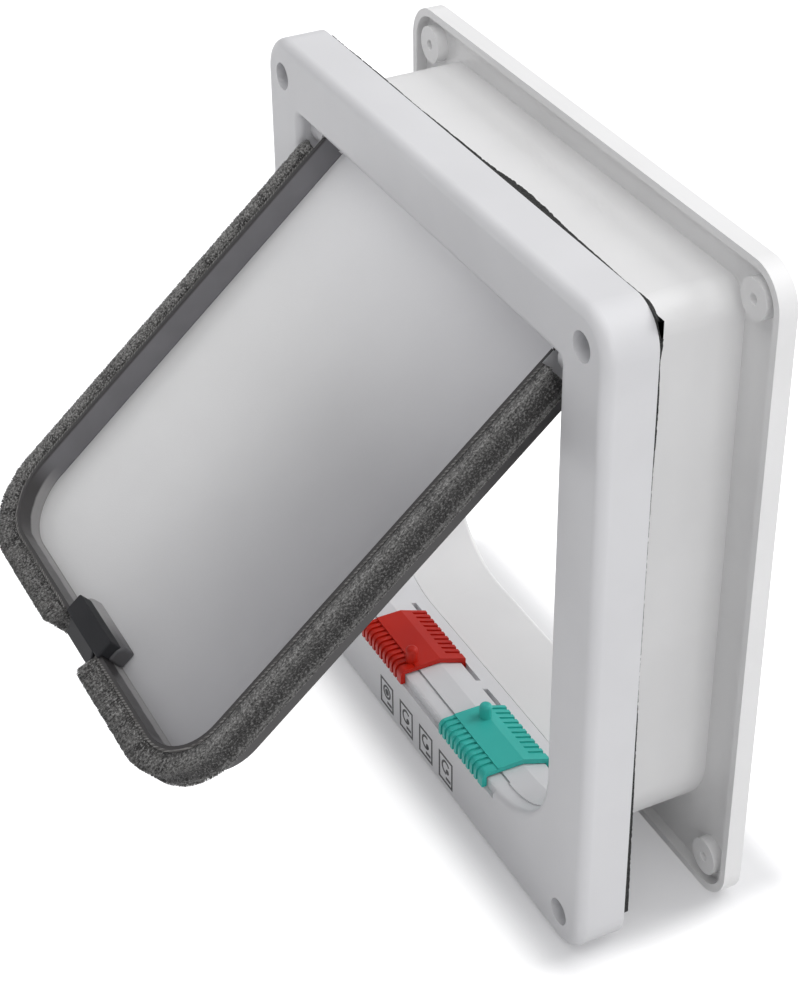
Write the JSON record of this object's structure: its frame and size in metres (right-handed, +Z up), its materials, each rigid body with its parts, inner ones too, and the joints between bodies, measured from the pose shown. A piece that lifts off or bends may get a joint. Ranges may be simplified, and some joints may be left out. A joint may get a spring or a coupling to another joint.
{
  "type": "cat flap",
  "caption": "Small cat flap: front frame with collar, rear flange with sleeve, clear hinged flap with brush strips and magnet holder, and locking sliders.",
  "frame": {"origin": "centre of the four screw holes, in the plane where the front frame meets the door", "axes": "+X right as seen from outside, +Y through the door towards the rear flange, +Z up"},
  "size_m": [0.19, 0.1608, 0.2036],
  "materials": {
    "white_plastic": "semi-gloss moulded",
    "clear_plastic": "smoky translucent",
    "black_foam": "closed-cell foam",
    "woven_tape": "woven",
    "brush_pile": "pile",
    "charcoal_plastic": "fine matt",
    "red_plastic": "moulded",
    "green_plastic": "moulded",
    "steel": "drawn",
    "magnet": "plated"
  },
  "bodies": {
    "frames": {"front_frame": "white_plastic", "rear_frame": "white_plastic", "gasket_top": "black_foam", "gasket_bottom": "black_foam", "gasket_left": "black_foam", "gasket_right": "black_foam", "hinge_pin_left": "steel", "hinge_pin_right": "steel", "sill_magnet": "magnet", "sill_magnet_cover": "white_plastic"},
    "flap": {"flap_panel": "clear_plastic", "pile_backing_left": "woven_tape", "pile_backing_right": "woven_tape", "pile_left": "brush_pile", "pile_right": "brush_pile", "magnet_holder": "charcoal_plastic", "flap_magnet": "magnet"},
    "red_lock": {"red_slider": "red_plastic"},
    "green_lock": {"green_slider": "green_plastic"}
  },
  "joints": [
    {"name": "flap_hinge", "type": "hinge", "parent": "frames", "child": "flap", "pos_m": [0, -0.0057, 0.0778], "axis": [-1, 0, 0], "range_deg": [-108, 35]},
    {"name": "red_slide", "type": "slide", "parent": "frames", "child": "red_lock", "axis": [1, 0, 0], "range_m": [-0.007, 0.009]},
    {"name": "green_slide", "type": "slide", "parent": "frames", "child": "green_lock", "axis": [-1, 0, 0], "range_m": [-0.005, 0.011]}
  ]
}
